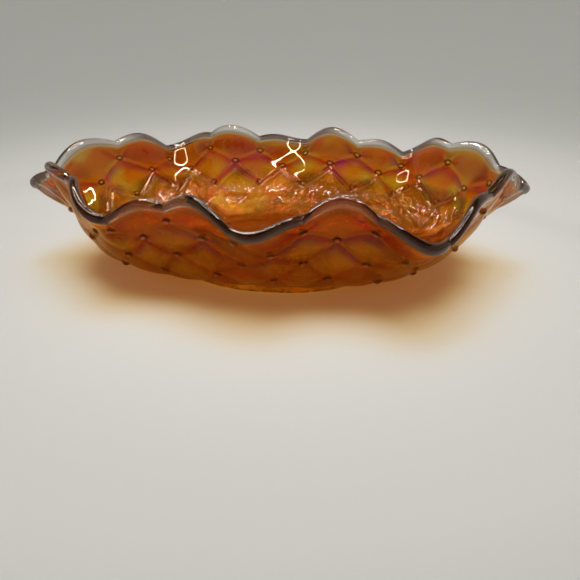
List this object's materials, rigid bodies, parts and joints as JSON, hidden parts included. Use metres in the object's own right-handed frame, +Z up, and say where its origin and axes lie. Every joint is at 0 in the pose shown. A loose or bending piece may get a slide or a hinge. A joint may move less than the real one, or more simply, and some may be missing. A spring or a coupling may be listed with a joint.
{
  "type": "glass bowl",
  "caption": "Oval ruffled pressed-glass bowl with a scalloped rim, quilted sides and a low foot ring.",
  "frame": {"origin": "middle of the foot ring's underside, which is the bottom centre of the whole bowl", "axes": "+X along the bowl's length, +Y across it, +Z up out of the bowl"},
  "size_m": [0.2368, 0.1506, 0.0541],
  "materials": {
    "amber_glass": "glossy, iridescent",
    "lustred_rim": "glossy, metallic lustre"
  },
  "bodies": {
    "root": {"bowl_wall": "amber_glass", "bowl_floor": "amber_glass", "foot_ring": "amber_glass", "rim_bead": "lustred_rim", "quilt_buttons_row_1": "amber_glass", "quilt_buttons_row_2": "amber_glass", "quilt_buttons_row_3": "amber_glass", "quilt_buttons_row_4": "amber_glass", "quilt_lines_upper": "amber_glass", "quilt_lines_middle": "amber_glass", "quilt_lines_lower": "amber_glass", "quilt_lines_lowest": "amber_glass", "panel_border": "amber_glass", "garland_blossoms": "amber_glass", "garland_leaves": "amber_glass", "garland_stems": "amber_glass"}
  },
  "joints": []
}
